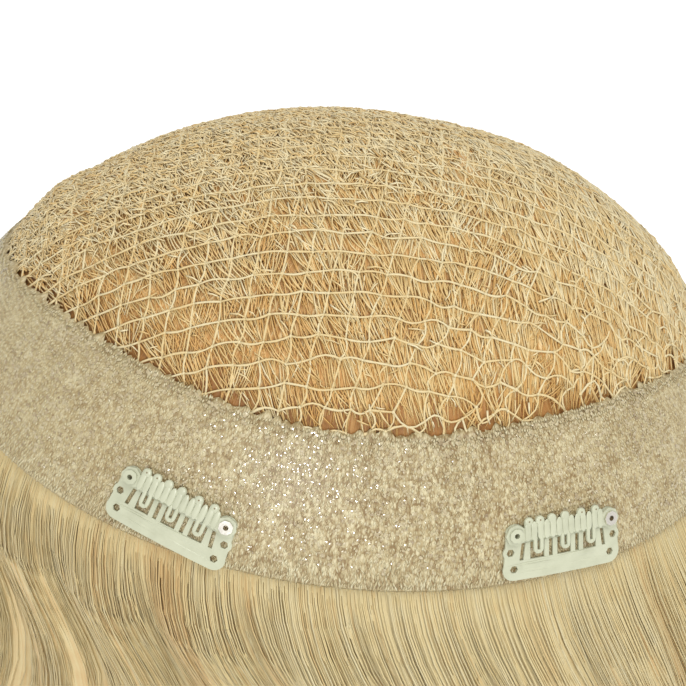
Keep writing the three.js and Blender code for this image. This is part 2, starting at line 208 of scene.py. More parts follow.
SLACK_SHIFT = 0.00100
SLACK_SAG = 0.00120
SLACK_REACH = 0.016
SLACK_TURN = -0.75
SLACK_SPREAD = 0.80
KNOT_RADIUS = 0.00042
KNOT_SHAPE = (1.0, 1.0, 0.7)
KNOT_SPREAD = (0.7, 1.25)
KNOT_TONES = (0.5, 1.0)
SHORTEST = 1e-12
BLOTCH_SCALE = 260
BLOTCH_STRENGTH = 0.6
NET_CARD = {"dark": (204, 176, 120), "middle": (210, 188, 138), "light": (214, 200, 160)}


def dome_point(angle, turn, lift):
    """Point of the dome from its angle down from the crown, its turn and its lift off the dome."""
    angle, turn, lift = np.broadcast_arrays(angle, turn, lift)
    unit = np.stack((np.sin(angle) * np.cos(turn), np.sin(angle) * np.sin(turn), np.cos(angle)), -1)
    return unit * DOME_RADII + DOME_CENTRE + unit_length(unit / DOME_RADII) * lift[..., None]


def unit_length(vectors):
    """The same directions at length one; nothing stays nothing."""
    return vectors / np.maximum(np.linalg.norm(vectors, axis=-1, keepdims=True), SHORTEST)


def rim_angle(turn):
    return np.arccos(1 - (RIM_DEPTH - RIM_LIFT * np.cos(2 * turn)) / DOME_RADII[2])


def angle_above_rim(turn, climb):
    """Angle of the line that runs a given length above the rim, measured up the dome."""
    middle = rim_angle(turn) - climb / (2 * DOME_RADII[2])
    reach = np.hypot(DOME_RADII[0] * np.cos(turn), DOME_RADII[1] * np.sin(turn))
    return rim_angle(turn) - climb / np.hypot(reach * np.cos(middle), DOME_RADII[2] * np.sin(middle))


def band_width(turn):
    side = -np.sin(turn + BAND_SKEW)
    half = (BAND_WIDTH - BAND_FAR_WIDTH) / 2
    middle = (BAND_WIDTH + BAND_FAR_WIDTH) / 2
    swell = BAND_SWELL * (side - side**3)
    return BAND_END_WIDTH + (middle - BAND_END_WIDTH) * side**2 + half * side + swell


def polar(u, v):
    """Angle and turn of a point given by its lengths along the two thread directions."""
    across, along = u / DOME_RADII[0], v / DOME_RADII[1]
    return np.hypot(across, along), np.arctan2(along, across)


def inside_band(u, v):
    """Distance from the top edge of the band, positive inside the net."""
    angle, turn = polar(u, v)
    return (angle_above_rim(turn, band_width(turn)) - angle) * DOME_RADII[2]


def smooth(share):
    share = np.clip(share, 0, 1)
    return share * share * (3 - 2 * share)


def shoulder(u, v):
    """How far the crown stands off the dome at its far corners."""
    right = smooth((u - SHOULDER_RIGHT) / SHOULDER_RIGHT_RAMP)
    left = smooth((SHOULDER_LEFT - u) / SHOULDER_LEFT_RAMP)
    hem = smooth(inside_band(u, v) / SHOULDER_HEM_RAMP)
    return SHOULDER_RISE * (right + left) * hem * smooth((v - SHOULDER_FRONT) / SHOULDER_FRONT_RAMP)


def net_point(u, v, lift):
    """Point on the net, which dips under the band at its edge."""
    rise = smooth(inside_band(u, v) / NET_RISE_LENGTH)
    lift = lift + NET_UNDER_BAND + (NET_AT_CROWN - NET_UNDER_BAND) * rise + shoulder(u, v)
    return dome_point(*polar(u, v), lift)


def slackness(u, v):
    """0 where the net is tight and 1 where it hangs loose above the band."""
    turn = polar(u, v)[1]
    near = np.exp(-(np.maximum(inside_band(u, v), 0) / SLACK_REACH) ** 2)
    return near * np.exp(-(((turn - SLACK_TURN) / SLACK_SPREAD) ** 2))


def net_nodes():
    """Crossings of the threads as lengths u and v, indexed by column and row."""
    columns = int(DOME_RADII[0] / COLUMN_PITCH)
    rows = int(DOME_RADII[1] / ROW_PITCH)
    numbers = np.arange(-columns, columns + DRIFT_COLUMNS), np.arange(-rows, rows)
    column, row = np.meshgrid(*numbers, indexing="ij")
    v = ROW_SHIFT + ROW_PITCH * row
    fall = DRIFT_START - v
    drift = DRIFT * (fall + np.hypot(fall, DRIFT_SOFTNESS)) / 2
    u = COLUMN_SHIFT + COLUMN_PITCH * column - COLUMN_CROWDING * column**2 - drift
    loose = TIGHT_SHIFT + SLACK_SHIFT * slackness(u, v)
    return u + chance.normal(0, 1, u.shape) * loose, v + chance.normal(0, 1, v.shape) * loose


def tubes(paths, radii, sides):
    """Corners and faces of closed tubes along paths[tube, step], with a radius at each step."""
    count, steps = paths.shape[:2]
    forward = unit_length(np.gradient(paths, axis=1))
    side = unit_length(np.cross(forward, paths - DOME_CENTRE))
    over = np.cross(side, forward)
    around = 2 * np.pi * np.arange(sides) / sides
    ring = np.cos(around)[:, None] * side[:, :, None] + np.sin(around)[:, None] * over[:, :, None]
    corners = (paths[:, :, None] + radii[..., None, None] * ring).reshape(-1, 3)
    first = (np.arange(count)[:, None, None] * steps + np.arange(steps - 1)[None, :, None]) * sides
    here, after = first + np.arange(sides), first + (np.arange(sides) + 1) % sides
    walls = np.stack((here, here + sides, after + sides, after), -1).reshape(-1, 4)
    start = np.arange(count)[:, None] * steps * sides + np.arange(sides)
    end = start[:, ::-1] + (steps - 1) * sides
    return corners, walls.tolist() + start.tolist() + end.tolist()


def joined(name, corners, faces, tone):
    """One mesh of many small closed bodies, with a tone from dark, 0, to light, 1, at each corner."""
    mesh = bpy.data.meshes.new(name)
    mesh.from_pydata(corners, [], faces)
    mesh.shade_smooth()
    mesh.attributes.new("tone", "FLOAT", "POINT").data.foreach_set("value", tone.astype(np.float32))
    mesh.update()
    return mesh


def net_threads(u, v):
    """Threads from crossing to crossing, sagging sideways where the net is slack."""
    paths, radii = [], []
    share = np.linspace(0, 1, THREAD_STEPS)
    for axis in (0, 1):
        u0, u1 = (u[:-1], u[1:]) if axis == 0 else (u[:, :-1], u[:, 1:])
        v0, v1 = (v[:-1], v[1:]) if axis == 0 else (v[:, :-1], v[:, 1:])
        kept = inside_band((u0 + u1) / 2, (v0 + v1) / 2) > -HEM_TUCK
        u0, u1, v0, v1 = (values[kept][:, None] for values in (u0, u1, v0, v1))
        sag = (TIGHT_SHIFT + SLACK_SAG * slackness(u0, v0)) * chance.normal(0, 1, u0.shape)
        sag = sag * np.sin(np.pi * share)
        along_u = u0 + (u1 - u0) * share + (sag if axis else 0)
        along_v = v0 + (v1 - v0) * share + (0 if axis else sag)
        dip = -THREAD_DIP * THREAD_RADIUS * np.sin(np.pi * share) - THREAD_RADIUS * axis * COLUMN_DIP
        paths.append(net_point(along_u, along_v, dip))
        fuller = smooth((along_v - COLUMN_EXTRA_START) / COLUMN_EXTRA_RAMP)
        thick = THREAD_RADIUS + COLUMN_EXTRA * axis * fuller
        radii.append(thick * (1 + THREAD_UNEVENNESS * chance.normal(0, 1, thick.shape)))
    return np.concatenate(paths), np.concatenate(radii)


def scattered(name, places, frames, sizes, tone, template):
    """Many copies of a small body: frames hold its three directions, sizes its three radii."""
    body = bmesh.new()
    template(body)
    shape = np.array([vertex.co for vertex in body.verts])
    body.verts.index_update()
    faces = np.array([[vertex.index for vertex in face.verts] for face in body.faces])
    body.free()
    scaled = shape[None] * sizes[:, None]
    corners = places[:, None] + np.einsum("nij,nki->nkj", frames, scaled)
    numbers = faces[None] + np.arange(len(places))[:, None, None] * len(shape)
    return joined(name, corners.reshape(-1, 3), numbers.reshape(-1, 3).tolist(), tone.repeat(len(shape)))


def ball(body):
    bmesh.ops.create_icosphere(body, subdivisions=1, radius=1)


def surface_frames(places, along):
    """Three directions at each place: across, along and off the dome."""
    normal = unit_length((places - DOME_CENTRE) / DOME_RADII**2)
    across = unit_length(np.cross(along, normal))
    return np.stack((across, np.cross(normal, across), normal), 1)


def node_group(name, inputs, outputs):
    """An empty shader group with its named sockets."""
    group = bpy.data.node_groups.new(name, "ShaderNodeTree")
    for label, kind in inputs.items():
        group.interface.new_socket(label, in_out="INPUT", socket_type=kind)
    for label, kind in outputs.items():
        group.interface.new_socket(label, in_out="OUTPUT", socket_type=kind)
    return group, group.nodes.new("NodeGroupInput"), group.nodes.new("NodeGroupOutput")


def calculate(tree, operation, *values, clamp=False):
    """Output of a math node that works on numbers or other outputs."""
    node = tree.nodes.new("ShaderNodeMath")
    node.operation = operation
    node.use_clamp = clamp
    for socket, value in zip(node.inputs, values):
        if isinstance(value, (int, float)):
            socket.default_value = value
        else:
            tree.links.new(value, socket)
    return node.outputs[0]


def mixed(tree, factor, first, second):
    """Output of a node that mixes two colours."""
    node = tree.nodes.new("ShaderNodeMix")
    node.data_type = "RGBA"
    for socket, value in zip((node.inputs[0], node.inputs[6], node.inputs[7]), (factor, first, second)):
        tree.links.new(value, socket)
    return node.outputs[2]


def dyed_hair_group():
    """Colour of dyed hair or thread from its tone, with soft blotches along its length."""
    colours = {"Dark": "NodeSocketColor", "Middle": "NodeSocketColor", "Light": "NodeSocketColor"}
    inputs = {"Tone": "NodeSocketFloat", **colours}
    group, given, result = node_group("dyed_hair", inputs, {"Color": "NodeSocketColor"})
    place = group.nodes.new("ShaderNodeTexCoord")
    blotches = group.nodes.new("ShaderNodeTexNoise")
    blotches.inputs["Scale"].default_value = BLOTCH_SCALE
    blotches.inputs["Detail"].default_value = 3
    group.links.new(place.outputs["Object"], blotches.inputs["Vector"])
    shift = calculate(
        group, "MULTIPLY_ADD", blotches.outputs["Fac"], BLOTCH_STRENGTH, -BLOTCH_STRENGTH / 2
    )
    tone = calculate(group, "ADD", given.outputs["Tone"], shift, clamp=True)
    lower = calculate(group, "MULTIPLY", tone, 2.0, clamp=True)
    upper = calculate(group, "MULTIPLY_ADD", tone, 2.0, -1.0, clamp=True)
    shade = mixed(group, lower, given.outputs["Dark"], given.outputs["Middle"])
    group.links.new(mixed(group, upper, shade, given.outputs["Light"]), result.inputs["Color"])
    return group


dyed_hair = dyed_hair_group()


def dyed(tree, card, tone):
    """Colour between the three of a card at a tone."""
    dye = tree.nodes.new("ShaderNodeGroup")
    dye.node_tree = dyed_hair
    for part in ("dark", "middle", "light"):
        dye.inputs[part.capitalize()].default_value = colour(*card[part])
    tree.links.new(tone, dye.inputs["Tone"])
    return dye.outputs["Color"]


def strand_finish(name, card, **sockets):
    """Finish of threads or hairs whose tone is kept at their corners."""
    material, tree, shader = finish(name, **sockets)
    kept = tree.nodes.new("ShaderNodeAttribute")
    kept.attribute_name = "tone"
    tree.links.new(dyed(tree, card, kept.outputs["Fac"]), shader.inputs["Base Color"])
    return material


def net_crown():
    u, v = net_nodes()
    paths, radii = net_threads(u, v)
    corners, faces = tubes(paths, radii, THREAD_SIDES)
    tone = chance.uniform(*THREAD_TONES, len(paths)).repeat(THREAD_STEPS * THREAD_SIDES)
    thread = strand_finish("net_thread", NET_CARD, Roughness=0.6)
    net = shown("net_threads", joined("net_threads", corners, faces, tone), thread)
    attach(net, "root")
    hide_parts("net_crown")

    kept = inside_band(u, v) > -HEM_TUCK / 2
    places = net_point(u[kept], v[kept], 0.0)
    frames = surface_frames(places, chance.normal(0, 1, places.shape))
    sizes = KNOT_RADIUS * chance.uniform(*KNOT_SPREAD, places.shape) * KNOT_SHAPE
    tone = chance.uniform(*KNOT_TONES, len(places))
    knots = shown("net_knots", scattered("net_knots", places, frames, sizes, tone, ball), thread)
    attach(knots, "root")
    return u, v


net_u, net_v = net_crown()


# Hairs on the net. Short ends of the hairs that are tied round the threads: in each cell they
# leave the upper thread side by side, slant across the gap and run under the lower thread.
UPPER_HAIRS = {
    "count": 9, "spread": 1.0, "drop": 1.15, "depth": (-0.0003, 0.0001), "tones": (0.45, 0.9)
}
UNDER_HAIRS = {
    "count": 7, "spread": 1.6, "drop": 1.9, "depth": (-0.0004, -0.0002), "tones": (0.1, 0.6)
}
NET_HAIR_SIDES = 3
NET_HAIR_RADIUS = 0.00018
NET_HAIR_SPREAD = (0.7, 1.3)
NET_HAIR_TAPER = (1.1, 1.0, 0.65)
NET_HAIR_LEAN = (0.25, 0.75)
NET_HAIR_BACKWARD = -0.6
FORWARD_CELLS = 0.8
NET_HAIR_PINCH = (0.3, 0.95)
NET_HAIR_FALL = (0.75, 1.35)
NET_HAIR_SCATTER = 0.10
NET_HAIR_CURVE = 1.3
NET_HAIR_ARCH = np.array((0.5, 1.0, 0.8))
NET_HAIR_SINK = 0.0001
TONE_SCATTER = 0.16
TONE_RISE = 0.55
TONE_RISE_MIDDLE = 0.6
TONE_RISE_START = -0.055
TONE_RISE_LENGTH = 0.085
BARE_HEM = 0.0055
BARE_TURN = -1.30
BARE_SPREAD = 0.55
BARE_UNEVENNESS = (0.2, 1)
SHORT_HAIRS = 8600
SHORT_TRIES = 8 * SHORT_HAIRS
SHORT_LENGTH = (0.0018, 0.0042)
SHORT_HEADING = -62
SHORT_TURNING = 38
SHORT_BEND = 0.00018
SHORT_LIFT = np.array((-0.0002, 0.0001, -0.0002))
SHORT_LOOSENESS = 0.0003
SHORT_HEM = 0.0005
SHORT_TONE = (0.72, 0.2)
CROWD_FRONT = -0.030
CROWD_FRONT_RAMP = 0.045
CROWD_RIGHT = 0.055
CROWD_RIGHT_RAMP = 0.075
CROWD_LEAST = 0.06
NET_HAIR_CARD = {"dark": (202, 158, 92), "middle": (216, 188, 130), "light": (226, 212, 172)}


def cell_hairs(u, v, count, spread, drop, depth, tones):
    """Hairs of every net cell: their paths on the net, and their tones."""
    near = (u[:-1, :-1] + u[1:, 1:]) / 2, (v[:-1, :-1] + v[1:, 1:]) / 2
    kept = inside_band(*near) > -HEM_TUCK
    left, right = u[:-1, 1:][kept][:, None], u[1:, 1:][kept][:, None]
    top, bottom = v[:-1, 1:][kept][:, None], v[:-1, :-1][kept][:, None]
    cells = len(left)
    start = (np.arange(count) + chance.uniform(0, 1, (cells, count))) / count
    reach = chance.uniform(*NET_HAIR_LEAN, (cells, 1))
    forward = chance.uniform(0, 1, (cells, 1)) < FORWARD_CELLS
    lean = np.where(forward, reach, NET_HAIR_BACKWARD * reach)
    pinch = chance.uniform(*NET_HAIR_PINCH, (cells, 1)) * spread
    end = 0.5 + (start - 0.5) * pinch + lean + chance.normal(0, NET_HAIR_SCATTER, start.shape)
    fall = drop * chance.uniform(*NET_HAIR_FALL, start.shape)
    share = np.linspace(0, 1, 3)
    begin = start[..., None] + (end - start)[..., None] * share**NET_HAIR_CURVE
    along_u = left[..., None] + (right - left)[..., None] * begin
    along_v = top[..., None] + (bottom - top)[..., None] * fall[..., None] * share
    low = depth[0] + (depth[1] - depth[0]) * chance.uniform(0, 1, start.shape)[..., None]
    paths = net_point(along_u, along_v, low * NET_HAIR_ARCH - NET_HAIR_SINK).reshape(-1, 3, 3)
    tone = chance.uniform(*tones, (cells, 1)) + chance.normal(0, TONE_SCATTER, (cells, count))
    rise = smooth((top - TONE_RISE_START) / TONE_RISE_LENGTH)
    tone = tone + TONE_RISE * (rise - TONE_RISE_MIDDLE)
    turn = polar(left, top)[1]
    bare = BARE_HEM * np.exp(-(((turn - BARE_TURN) / BARE_SPREAD) ** 2))
    bare = bare * chance.uniform(*BARE_UNEVENNESS, (cells, count))
    covered = inside_band(along_u[..., 1], along_v[..., 1]) > bare
    return paths[covered.ravel()], tone[covered]


def short_hairs():
    """Loose short hairs over the threads, crowded towards the far and left part of the net."""
    u = chance.uniform(net_u.min(), net_u.max(), SHORT_TRIES)
    v = chance.uniform(net_v.min(), net_v.max(), SHORT_TRIES)
    crowd = smooth((v - CROWD_FRONT) / CROWD_FRONT_RAMP) * smooth((CROWD_RIGHT - u) / CROWD_RIGHT_RAMP)
    crowd = crowd + CROWD_LEAST
    kept = (inside_band(u, v) > SHORT_HEM) & (chance.uniform(0, 1, len(u)) < crowd)
    u, v = u[kept][:SHORT_HAIRS, None], v[kept][:SHORT_HAIRS, None]
    heading = np.radians(SHORT_HEADING + chance.normal(0, SHORT_TURNING, u.shape))
    reach = chance.uniform(*SHORT_LENGTH, u.shape) * (-0.5, 0.0, 0.5)
    bend = chance.normal(0, SHORT_BEND, u.shape) * (1, 0, 1)
    height = chance.uniform(-SHORT_LOOSENESS, SHORT_LOOSENESS, u.shape) + SHORT_LIFT
    along_u = u + reach * np.cos(heading) - bend * np.sin(heading)
    along_v = v + reach * np.sin(heading) + bend * np.cos(heading)
    return net_point(along_u, along_v, height), chance.normal(*SHORT_TONE, len(u))


def net_hairs(name, paths, tone):
    radii = NET_HAIR_RADIUS * chance.uniform(*NET_HAIR_SPREAD, (len(paths), 1)) * NET_HAIR_TAPER
    corners, faces = tubes(paths, radii, NET_HAIR_SIDES)
    tone = np.clip(tone, 0, 1).repeat(paths.shape[1] * NET_HAIR_SIDES)
    mesh = joined(name, corners, faces, tone)
    hairs = shown(name, mesh, net_hair)
    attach(hairs, "root")


net_hair = strand_finish("net_hair", NET_HAIR_CARD, Roughness=0.45)
upper_hairs = cell_hairs(net_u, net_v, **UPPER_HAIRS)
under_hairs = cell_hairs(net_u, net_v, **UNDER_HAIRS)
net_hairs("net_hairs_upper", *upper_hairs)
net_hairs("net_hairs_under", *under_hairs)
net_hairs("net_hairs_short", *short_hairs())


# Skin band. A strip of clear skin cast round the edge of the base, glossy and slightly rough,
# trimmed clean along the rim and less evenly where it is pressed over the net.
BAND_COLUMNS = 640
BAND_ROWS = 24
BAND_THICKNESS = 0.001
# Corners of the section: share of the way round it, of the band's width and of its thickness.
BAND_SECTION = np.array((
    (0.0, 0.0, -1.0), (0.02, 0.0, -0.45), (0.045, 0.025, 0.0), (0.78, 0.975, 0.0),
    (0.81, 1.0, -0.45), (0.83, 1.0, -1.0), (1.0, 0.0, -1.0),
))
BAND_EDGE_DIP = 0.0006
BAND_DIP_START = 0.9
BAND_DIP_RAMP = 0.1
BAND_LOBE = 0.0016
LOBE_PITCH = 0.0032
LOBE_SINK = 0.4
LOBE_START = 0.8
LOBE_RAMP = 0.2
FINE_LOBES = 0.3
BAND_WAVES = 0.00005
WAVES_PITCH = 0.009
RIPPLE_REACH = 0.085
GRAIN_SCALE = (800, 38, 1)
GRAIN_RANDOMNESS = 0.85
GRAIN_RELIEF = 0.9
GRAIN_CONTRAST = 0.85
GRAIN_HEIGHT = 0.00022
GRAIN_TONE = 0.55
GRAIN_TURN = -1.45
GRAIN_SPREAD = 0.85
GRAIN_LEAST = 0.45
CLOUD_SCALE = 0.11
CLOUD_STRENGTH = 0.35
CLOUD_DROP = -0.56
WELD = 0.000002
BAND_CARD = {"dark": (130, 106, 66), "middle": (172, 155, 114), "light": (204, 193, 156)}


def laid_grid(name, columns, rows, place):
    """Closed sheet from a flat grid: place gives each point from its shares across and along."""
    sheet = bmesh.new()
    bmesh.ops.create_grid(sheet, x_segments=columns, y_segments=rows, size=1)
    mesh = bpy.data.meshes.new(name)
    sheet.to_mesh(mesh)
    flat = np.empty(3 * len(mesh.vertices))
    mesh.vertices.foreach_get("co", flat)
    shares = (flat.reshape(-1, 3)[:, :2] + 1) / 2
    mesh.vertices.foreach_set("co", place(shares[:, 0], shares[:, 1]).ravel())
    corner = np.empty(len(mesh.loops), np.int32)
    mesh.loops.foreach_get("vertex_index", corner)
    mesh.uv_layers.new(name="lay").data.foreach_set("uv", shares[corner].ravel())
    sheet.clear()
    sheet.from_mesh(mesh)
    bmesh.ops.remove_doubles(sheet, verts=sheet.verts, dist=WELD)
    bmesh.ops.recalc_face_normals(sheet, faces=sheet.faces)
    sheet.to_mesh(mesh)
    sheet.free()
    mesh.shade_smooth()
    return mesh


def ripple(turn, height, pitch, seed):
    """Smooth noise that closes on itself round the base, from -1 to 1."""
    reach = RIPPLE_REACH / pitch
    return np.array([
        noise.noise(Vector((reach * math.cos(t), reach * math.sin(t), h / pitch + seed)))
        for t, h in zip(turn, np.broadcast_to(height, turn.shape))
    ])


def band_place(across, along):
    """Point of the band: out from the rim over the outer face and back along the inner one."""
    turn = 2 * np.pi * across
    way, climbed, lifted = BAND_SECTION.T
    share = np.interp(along, way, climbed)
    lift = BAND_THICKNESS * np.interp(along, way, lifted)
    dip = smooth((share - BAND_DIP_START) / BAND_DIP_RAMP)
    lift = lift - BAND_EDGE_DIP * dip * (lift > -0.9 * BAND_THICKNESS)
    fine_lobes = FINE_LOBES * ripple(turn, 0.0, LOBE_PITCH / 2, seed=9)
    lobes = np.abs(ripple(turn, 0.0, LOBE_PITCH, seed=3)) * 2 + fine_lobes - LOBE_SINK
    climb = band_width(turn) * share + BAND_LOBE * lobes * smooth((share - LOBE_START) / LOBE_RAMP)
    waves = BAND_WAVES * ripple(turn, climb, WAVES_PITCH, seed=17)
    lift = lift + waves * (lift > -0.5 * BAND_THICKNESS)
    return dome_point(angle_above_rim(turn, climb), turn, lift)


def skin_grain_group():
    """Raised grains of the cast skin, each with its own tone, and faint clouds over them."""
    outputs = {"Tone": "NodeSocketFloat", "Height": "NodeSocketFloat"}
    group, given, result = node_group("skin_grain", {"Vector": "NodeSocketVector"}, outputs)
    grain = group.nodes.new("ShaderNodeTexVoronoi")
    grain.inputs["Scale"].default_value = 1.0
    grain.inputs["Randomness"].default_value = GRAIN_RANDOMNESS
    cloud = group.nodes.new("ShaderNodeTexNoise")
    cloud.inputs["Scale"].default_value = CLOUD_SCALE
    cloud.inputs["Detail"].default_value = 5
    for node in (grain, cloud):
        group.links.new(given.outputs["Vector"], node.inputs["Vector"])
    bumps = calculate(group, "SUBTRACT", 1.0, grain.outputs["Distance"])
    parts = group.nodes.new("ShaderNodeSeparateXYZ")
    group.links.new(grain.outputs["Color"], parts.inputs["Vector"])
    clouds = calculate(group, "MULTIPLY_ADD", cloud.outputs["Fac"], CLOUD_STRENGTH, CLOUD_DROP)
    seams = calculate(group, "MULTIPLY_ADD", bumps, GRAIN_RELIEF, clouds)
    tone = calculate(group, "MULTIPLY_ADD", parts.outputs["X"], GRAIN_CONTRAST, seams, clamp=True)
    group.links.new(tone, result.inputs["Tone"])
    group.links.new(bumps, result.inputs["Height"])
    return group


def coarseness(turn):
    """How strongly the grain shows: most at the front of the band, least at its ends."""
    away = np.angle(np.exp(1j * (turn - GRAIN_TURN)))
    return GRAIN_LEAST + (1 - GRAIN_LEAST) * np.exp(-((away / GRAIN_SPREAD) ** 2))


def skin_finish():
    material, tree, shader = finish(
        "clear_skin", Roughness=0.5, Coat_Weight=0.35, Coat_Roughness=0.3, Specular_IOR_Level=0.4
    )
    lay = tree.nodes.new("ShaderNodeUVMap")
    lay.uv_map = "lay"
    spread = tree.nodes.new("ShaderNodeMapping")
    spread.inputs["Scale"].default_value = GRAIN_SCALE
    grain = tree.nodes.new("ShaderNodeGroup")
    grain.node_tree = skin_grain_group()
    bump = tree.nodes.new("ShaderNodeBump")
    bump.inputs["Strength"].default_value = 0.8
    bump.inputs["Distance"].default_value = GRAIN_HEIGHT
    split = tree.nodes.new("ShaderNodeSeparateXYZ")
    tree.links.new(lay.outputs["UV"], spread.inputs["Vector"])
    tree.links.new(lay.outputs["UV"], split.inputs["Vector"])
    tree.links.new(spread.outputs["Vector"], grain.inputs["Vector"])
    away = calculate(tree, "SUBTRACT", split.outputs["X"], 1 + GRAIN_TURN / (2 * math.pi))
    away = calculate(tree, "MULTIPLY", away, 2 * math.pi / GRAIN_SPREAD)
    square = calculate(tree, "MULTIPLY", away, away)
    near = calculate(tree, "EXPONENT", calculate(tree, "MULTIPLY", square, -1.0))
    strong = calculate(tree, "MULTIPLY_ADD", near, 1 - GRAIN_LEAST, GRAIN_LEAST)
    tone = calculate(tree, "SUBTRACT", grain.outputs["Tone"], GRAIN_TONE)
    tone = calculate(tree, "MULTIPLY_ADD", tone, strong, GRAIN_TONE)
    tree.links.new(dyed(tree, BAND_CARD, tone), shader.inputs["Base Color"])
    tree.links.new(grain.outputs["Height"], bump.inputs["Height"])
    tree.links.new(bump.outputs["Normal"], shader.inputs["Normal"])
    return material


def skin_band():
    mesh = laid_grid("band_skin", BAND_COLUMNS, BAND_ROWS, band_place)
    band = shown("band_skin", mesh, skin_finish())
    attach(band, "root")
    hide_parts("skin_band")


skin_band()


# Roots in the band. Each hair of the band is punched through the skin and leaves a tiny long
# bump there; the bumps stand in even, crowded rows and lie along the fall of the hair.
ROOT_PITCH_ACROSS = 0.00070
ROOT_PITCH_ALONG = 0.00130
ROOT_SIZE = (0.00028, 0.00062, 0.00017)
ROOT_SPREAD = (0.7, 1.15)
ROOT_JITTER = 0.14
ROOT_TILT = 0.00012
ROOT_TURNING = 0.0028
ROOT_LOOK_DOWN = 0.01
ROOT_REACH = 1.2
ROOT_RIM_MARGIN = 0.0011
ROOT_EDGE_MARGIN = 0.0008
ROOT_STRETCH = 0.7
ROOT_STRETCH_CLIMB = 0.009
ROOT_STRETCH_RAMP = 0.006
ROOT_TONE_SCATTER = 0.26
RIM_REACH = 0.081
ROOT_CARD = {"dark": (150, 126, 84), "middle": (186, 172, 132), "light": (204, 195, 160)}


def spindle(body):
    """Long bead, four-sided and pointed at both ends."""
    bmesh.ops.create_cone(body, segments=4, radius1=1, radius2=0, depth=1, cap_ends=False)
    bmesh.ops.translate(body, verts=body.verts, vec=(0, 0, 0.5))
    bmesh.ops.mirror(body, geom=body.verts[:] + body.edges[:] + body.faces[:], axis="Z", merge_dist=0.01)
    bmesh.ops.rotate(body, verts=body.verts, matrix=Matrix.Rotation(math.pi / 2, 3, "X"))
    bmesh.ops.recalc_face_normals(body, faces=body.faces)


def band_roots():
    columns = int(2 * np.pi * RIM_REACH / ROOT_PITCH_ACROSS)
    rows = int(ROOT_REACH * BAND_WIDTH / ROOT_PITCH_ALONG)
    column, row = (grid.ravel() for grid in np.meshgrid(np.arange(columns), np.arange(rows)))
    shift = chance.normal(0, ROOT_JITTER, (2, len(column)))
    turn = 2 * np.pi * (column + 0.5 * (row % 2) + shift[0]) / columns
    climb = np.maximum((row + 0.5 + shift[1]) * ROOT_PITCH_ALONG, ROOT_RIM_MARGIN)
    kept = climb < band_width(turn) - ROOT_EDGE_MARGIN
    turn, climb = turn[kept], climb[kept]
    angle = angle_above_rim(turn, climb)
    places = dome_point(angle, turn, 0.0)
    turned = turn + chance.normal(0, ROOT_TURNING, turn.shape)
    down = dome_point(angle + ROOT_LOOK_DOWN, turned, 0.0) - places
    down = down + chance.normal(0, ROOT_TILT, down.shape)
    sizes = np.array(ROOT_SIZE) * chance.uniform(*ROOT_SPREAD, (len(turn), 3))
    sizes[:, 1] *= 1 + ROOT_STRETCH * smooth((ROOT_STRETCH_CLIMB - climb) / ROOT_STRETCH_RAMP)
    scatter = ROOT_TONE_SCATTER * coarseness(turn) * chance.normal(0, 1, len(turn))
    tone = np.clip(GRAIN_TONE + scatter, 0, 1)
    mesh = scattered("band_roots", places, surface_frames(places, down), sizes, tone, spindle)
    finish_of_roots = strand_finish(
        "root_skin", ROOT_CARD, Roughness=0.32, Coat_Weight=0.6, Coat_Roughness=0.15
    )
    roots = shown("band_roots", mesh, finish_of_roots)
    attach(roots, "root")


band_roots()


# Glints on the band. Where the skin was brushed on thickest it dried in small flat drops between
# the roots, most of them at the front; each is clear and glossy and throws back the light.
GLINT_COUNT = 3900
GLINT_TURNS = (-2.75, -0.55)
GLINT_RIM_MARGIN = 0.004
GLINT_EDGE_MARGIN = 0.0055
GLINT_CROWDING = 0.8
GLINT_RADIUS = (0.00028, 0.00052)
GLINT_SHAPE = (1, 0.75, 0.12)
GLINT_TILT = 0.10
GLINT_LIFT = 0.00010
GLINT_TONE = (0.6, 0.2)
GLINT_CARD = {"dark": (134, 112, 72), "middle": (166, 148, 108), "light": (190, 176, 138)}


def band_glints():
    front = chance.uniform(*GLINT_TURNS, 2 * GLINT_COUNT // 3)
    turn = np.concatenate((front, chance.uniform(-np.pi, np.pi, GLINT_COUNT // 3)))
    room = band_width(turn) - GLINT_EDGE_MARGIN
    climb = GLINT_RIM_MARGIN + room * chance.uniform(0, 1, len(turn)) ** GLINT_CROWDING
    places = dome_point(angle_above_rim(turn, climb), turn, GLINT_LIFT)
    frames = surface_frames(places, chance.normal(0, 1, places.shape))
    frames = unit_length(frames + GLINT_TILT * chance.normal(0, 1, frames.shape) * (1, 1, 0))
    radii = chance.uniform(*GLINT_RADIUS, len(turn))
    sizes = radii[:, None] * GLINT_SHAPE
    mesh = scattered("band_glints", places, frames, sizes, chance.normal(*GLINT_TONE, len(turn)), ball)
    mesh.shade_flat()
    gloss = strand_finish(
        "glossy_skin", GLINT_CARD, Roughness=0.3, Coat_Weight=1.0, Coat_Roughness=0.05, Coat_IOR=1.9
    )
    glints = shown("band_glints", mesh, gloss)
    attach(glints, "root")


band_glints()


# Hair. Blonde hair with a soft body wave, of the usual six inch length, tied into net and band
# all over. Inside the base it lies as a layer, and below the rim it hangs in pointed locks.
UNDER_BAND = -0.0013
UNDER_NET = -0.0007
UNDER_HEM = -0.0019
HOLLOW_DEPTH = 0.0075
HAIR_LENGTH = 0.138
HAIR_FLARE = 0.005
HAIR_DEPTH = 0.009
LOCK_COUNT = 24
LOCK_BULGE = 0.004
LOCK_NOTCH = 0.018
LOCK_UNEVENNESS = 0.016
WAVE_SWING = 0.018
WAVE_LENGTH = 0.110
HAIR_LEAN = math.radians(9.1)
END_STILLNESS = 0.55
MASS_COLUMNS = 480
MASS_ROWS = 50
MASS_SINK = 0.0002
RIDGE_HEIGHT = 0.0003
RIDGE_PITCH = 0.0022
RIDGE_DRIFT = 0.02
RIDGE_FIRST = 6
RIDGE_LAST = 17
